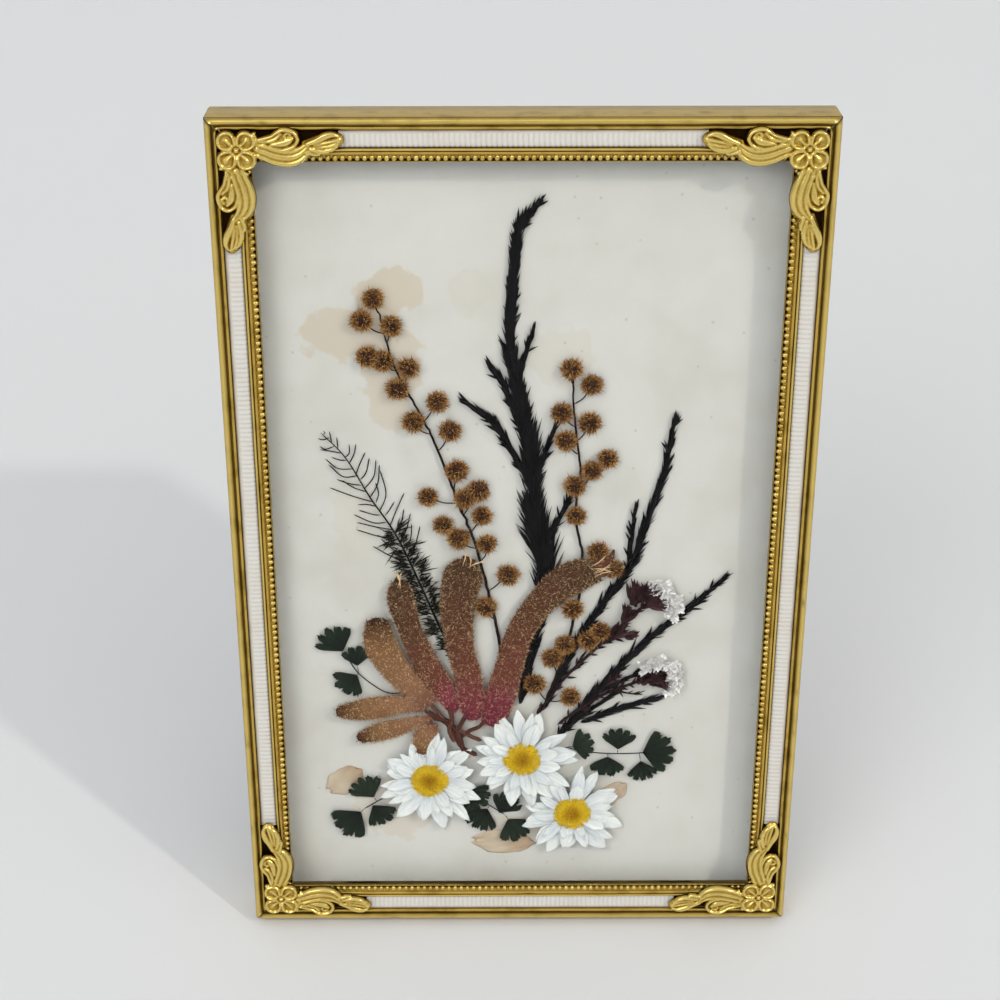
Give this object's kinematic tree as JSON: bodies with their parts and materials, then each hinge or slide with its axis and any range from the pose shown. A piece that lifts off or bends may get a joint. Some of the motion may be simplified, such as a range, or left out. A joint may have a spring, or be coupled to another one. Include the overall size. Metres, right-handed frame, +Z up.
{
  "type": "pressed flower frame",
  "caption": "Gilt metal standing picture frame with mitred bead moulding, ribbon inlay and corner ornaments, holding a pressed dried bouquet behind glass, on a hinged easel strut.",
  "frame": {"origin": "on the floor plane, at the middle of the whole object's footprint box", "axes": "+Z up; the picture faces -Y and leans back 14 degrees; +X is to the viewer's right"},
  "size_m": [0.141, 0.078, 0.2129],
  "materials": {
    "gilt_moulding": "gilt lacquered brass, satin, with polished beads",
    "stamped_brass": "stamped brass, bright on the raised parts, brown in the hollows",
    "ribbed_ribbon": "white ribbed ribbon",
    "window_glass": "clear picture glass",
    "mount_card": "matt cream card with faint specks and glue stains",
    "backing_board": "dark paper-faced board",
    "hinge_metal": "brass-plated pressed steel",
    "dark_dyed_leaf": "dried dark scale leaves",
    "heath_needle": "dried dark green needles",
    "wattle_head": "fuzzy golden-brown flower heads on dark stems",
    "paw_fur": "short felted fur, tan to magenta at the base",
    "dried_stem": "dried reddish-brown stem",
    "rice_flower": "dark maroon bracts with white buds",
    "fern_leaf": "pressed dark green leaflets",
    "daisy_petal": "papery white bracts with a faint sheen",
    "daisy_centre": "dense yellow florets",
    "loose_petal": "thin translucent tan petal"
  },
  "bodies": {
    "frame": {"backing_board": "backing_board", "corner_ornament_bottom_left": "stamped_brass", "corner_ornament_bottom_right": "stamped_brass", "corner_ornament_top_left": "stamped_brass", "corner_ornament_top_right": "stamped_brass", "daisy_left_centre": "daisy_centre", "daisy_left_petals": "daisy_petal", "daisy_middle_centre": "daisy_centre", "daisy_middle_petals": "daisy_petal", "daisy_right_centre": "daisy_centre", "daisy_right_petals": "daisy_petal", "glass_pane": "window_glass", "heath_sprig": "heath_needle", "hinge_pin": "hinge_metal", "hinge_plate": "hinge_metal", "kangaroo_paw_flower_1": "paw_fur", "kangaroo_paw_flower_2": "paw_fur", "kangaroo_paw_flower_3": "paw_fur", "kangaroo_paw_flower_4": "paw_fur", "kangaroo_paw_flower_5": "paw_fur", "kangaroo_paw_flower_6": "paw_fur", "kangaroo_paw_flower_7": "paw_fur", "kangaroo_paw_stem": "dried_stem", "loose_petal_bottom": "loose_petal", "loose_petal_left": "loose_petal", "loose_petal_right": "loose_petal", "maidenhair_frond_bottom_centre": "fern_leaf", "maidenhair_frond_lower_left": "fern_leaf", "maidenhair_frond_right": "fern_leaf", "maidenhair_frond_upper_left": "fern_leaf", "mount_card": "mount_card", "needle_leaf_sprig": "dark_dyed_leaf", "plate_rivet_left": "hinge_metal", "plate_rivet_right": "hinge_metal", "rail_bottom": "gilt_moulding", "rail_left": "gilt_moulding", "rail_right": "gilt_moulding", "rail_top": "gilt_moulding", "ribbon_inlay_bottom": "ribbed_ribbon", "ribbon_inlay_left": "ribbed_ribbon", "ribbon_inlay_right": "ribbed_ribbon", "ribbon_inlay_top": "ribbed_ribbon", "rice_flower_lower": "rice_flower", "rice_flower_upper": "rice_flower", "scale_leaf_sprig_right_lower": "dark_dyed_leaf", "scale_leaf_sprig_right_upper": "dark_dyed_leaf", "scale_leaf_sprig_tall": "dark_dyed_leaf", "wattle_sprig_left": "wattle_head", "wattle_sprig_right": "wattle_head"},
    "easel_strut": {"strut": "backing_board", "strut_hinge_leaf": "hinge_metal", "strut_rivet_left": "hinge_metal", "strut_rivet_right": "hinge_metal"}
  },
  "joints": [
    {"name": "strut_hinge", "type": "hinge", "parent": "frame", "child": "easel_strut", "pos_m": [0, 0.01007, 0.14504], "axis": [1, 0, 0], "range_deg": [-25, 0]}
  ]
}
